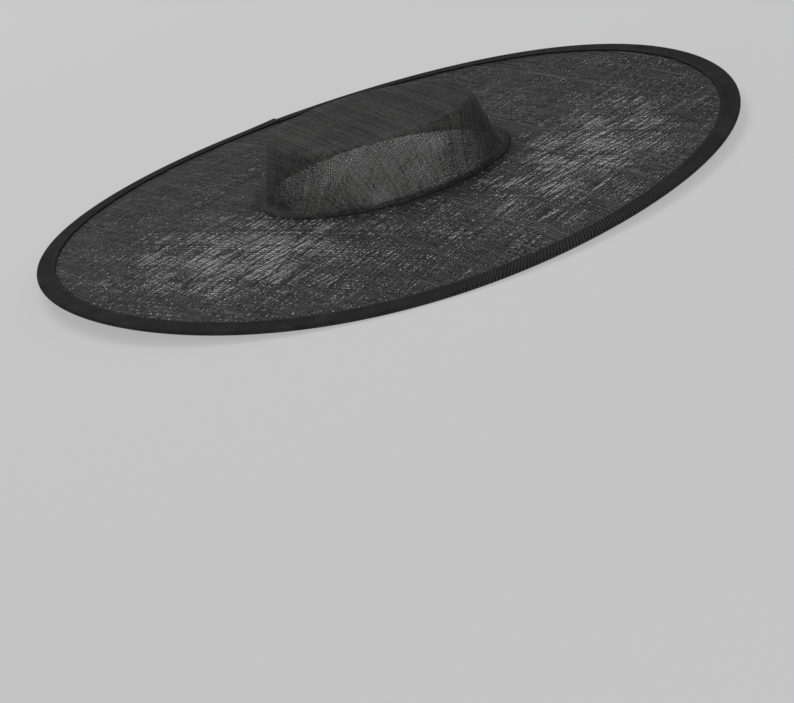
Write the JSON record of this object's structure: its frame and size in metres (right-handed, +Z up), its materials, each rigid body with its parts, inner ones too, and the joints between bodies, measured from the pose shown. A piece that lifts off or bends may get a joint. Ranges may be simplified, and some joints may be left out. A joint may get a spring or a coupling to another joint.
{
  "type": "fascinator hat",
  "caption": "Wide round-brimmed fascinator hat with a low oval crown, a bound and gently waved edge and a comb inside the crown.",
  "frame": {"origin": "centre of the brim's bounding box, on the plane that the waved edge rests on", "axes": "+Z up through the crown, +X towards the front end of the oval crown, where the comb is, +Y to the wearer's left"},
  "size_m": [0.5, 0.5, 0.0555],
  "materials": {
    "straw_cloth": "black stiffened open-weave straw cloth in two layers, slubby, with a slight dry gloss",
    "bias_binding": "black bias strip of the same cloth, folded and matt",
    "comb_plastic": "clear moulded plastic, glossy"
  },
  "bodies": {
    "root": {"crown": "straw_cloth", "brim": "straw_cloth", "edge_binding": "bias_binding", "hair_comb": "comb_plastic"}
  },
  "joints": []
}
